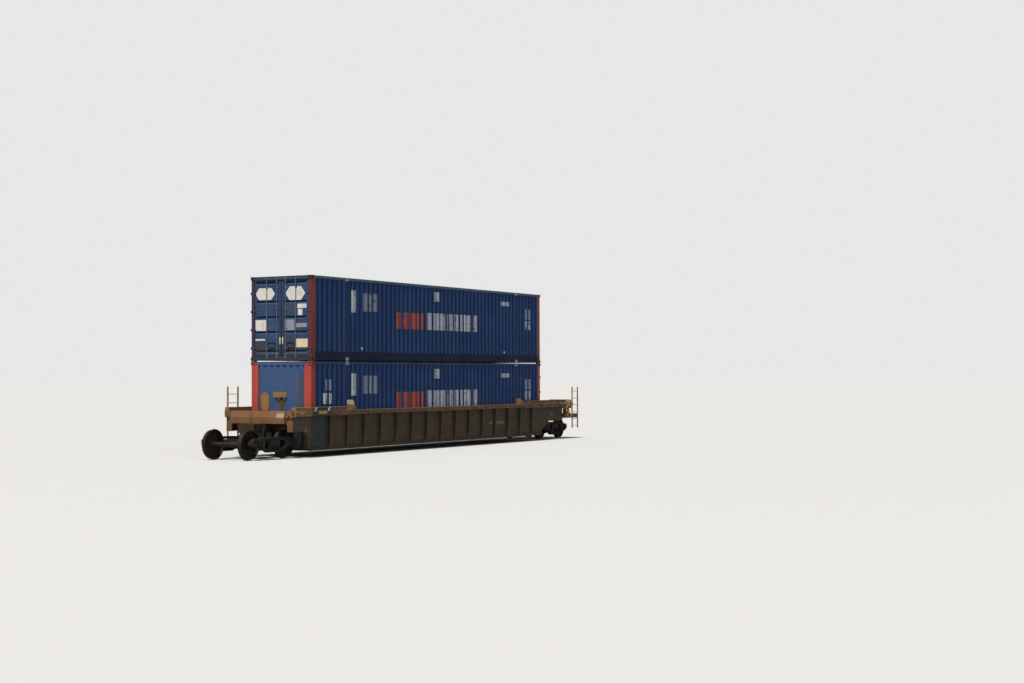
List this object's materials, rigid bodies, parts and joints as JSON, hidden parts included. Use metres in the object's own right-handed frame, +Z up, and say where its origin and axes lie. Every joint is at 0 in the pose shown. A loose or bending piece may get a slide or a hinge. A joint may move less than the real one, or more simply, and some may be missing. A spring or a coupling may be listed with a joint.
{
  "type": "double-stack container well wagon unit with two containers",
  "caption": "Railway well wagon unit carrying two closed containers, one stacked on the other, on two swivelling trucks, with opening doors on the upper container.",
  "frame": {"origin": "middle of the well and containers on the track centre line, at the floor under the wheel flanges", "axes": "+X along the rails towards the coupler end, +Y towards the far side of the picture, +Z up"},
  "size_m": [22.6374, 3.112, 6.175],
  "materials": {
    "container_blue": "semi-gloss, dusty",
    "post_red": "faded satin",
    "post_grey": "satin",
    "roof_paint": "dusty satin",
    "galvanised_steel": "dull galvanised",
    "car_ochre": "faded, dirty and rust marked",
    "cast_dark": "rusty and greasy",
    "wheel_steel": "rusted with worn treads",
    "spring_steel": "dull and dirty"
  },
  "bodies": {
    "car": {"air_tank": "car_ochre", "articulated_connector": "cast_dark", "body_bolster_right": "car_ochre", "box_locks": "galvanised_steel", "bulkheads": "car_ochre", "centre_plate_right": "cast_dark", "container_guides": "car_ochre", "corner_seats": "car_ochre", "cross_bearers": "car_ochre", "end_deck_right": "car_ochre", "end_frame_left": "car_ochre", "end_stand_left": "car_ochre", "grab_irons": "car_ochre", "hand_brake": "car_ochre", "ladders": "car_ochre", "lower_base": "container_blue", "lower_corner_posts": "post_red", "lower_doors": "container_blue", "lower_end_rails": "container_blue", "lower_front_wall": "container_blue", "lower_mid_posts": "post_grey", "lower_rods": "galvanised_steel", "lower_roof": "roof_paint", "lower_sides": "container_blue", "side_sills": "car_ochre", "stub_sill_right": "car_ochre", "upper_base": "container_blue", "upper_corner_posts": "post_red", "upper_end_rails": "container_blue", "upper_front_wall": "container_blue", "upper_mid_posts": "post_grey", "upper_roof": "roof_paint", "upper_sides": "container_blue"},
    "truck_left": {"brake_beams_left": "wheel_steel", "side_frames_left": "cast_dark", "springs_left": "spring_steel", "truck_bolster_left": "cast_dark"},
    "wheels_left_outer": {"wheelset_left_outer": "wheel_steel"},
    "wheels_left_inner": {"wheelset_left_inner": "wheel_steel"},
    "truck_right": {"brake_beams_right": "wheel_steel", "side_frames_right": "cast_dark", "springs_right": "spring_steel", "truck_bolster_right": "cast_dark"},
    "wheels_right_outer": {"wheelset_right_outer": "wheel_steel"},
    "wheels_right_inner": {"wheelset_right_inner": "wheel_steel"},
    "coupler_swing": {"coupler": "cast_dark"},
    "door_near": {"upper_door_near": "container_blue", "upper_rods_near": "galvanised_steel"},
    "door_far": {"upper_door_far": "container_blue", "upper_rods_far": "galvanised_steel"}
  },
  "joints": [
    {"name": "truck_swivel_left", "type": "hinge", "parent": "car", "child": "truck_left", "pos_m": [-9.8, 0, 0.68], "axis": [0, 0, 1], "range_deg": [-8, 8]},
    {"name": "axle_left_outer", "type": "hinge", "parent": "truck_left", "child": "wheels_left_outer", "pos_m": [-10.715, 0, 0.5075], "axis": [0, 1, 0], "continuous": true},
    {"name": "axle_left_inner", "type": "hinge", "parent": "truck_left", "child": "wheels_left_inner", "pos_m": [-8.885, 0, 0.5075], "axis": [0, 1, 0], "continuous": true},
    {"name": "truck_swivel_right", "type": "hinge", "parent": "car", "child": "truck_right", "pos_m": [9.8, 0, 0.68], "axis": [0, 0, 1], "range_deg": [-8, 8]},
    {"name": "axle_right_outer", "type": "hinge", "parent": "truck_right", "child": "wheels_right_outer", "pos_m": [10.665, 0, 0.444], "axis": [0, 1, 0], "continuous": true},
    {"name": "axle_right_inner", "type": "hinge", "parent": "truck_right", "child": "wheels_right_inner", "pos_m": [8.935, 0, 0.444], "axis": [0, 1, 0], "continuous": true},
    {"name": "coupler_turn", "type": "hinge", "parent": "car", "child": "coupler_swing", "pos_m": [10.45, 0, 0.901], "axis": [0, 0, 1], "range_deg": [-7, 7]},
    {"name": "door_near_hinge", "type": "hinge", "parent": "car", "child": "door_near", "pos_m": [-8.07, -1.2945, 4.7], "axis": [0, 0, 1], "range_deg": [0, 270]},
    {"name": "door_far_hinge", "type": "hinge", "parent": "car", "child": "door_far", "pos_m": [-8.07, 1.2945, 4.7], "axis": [0, 0, -1], "range_deg": [0, 270]}
  ]
}
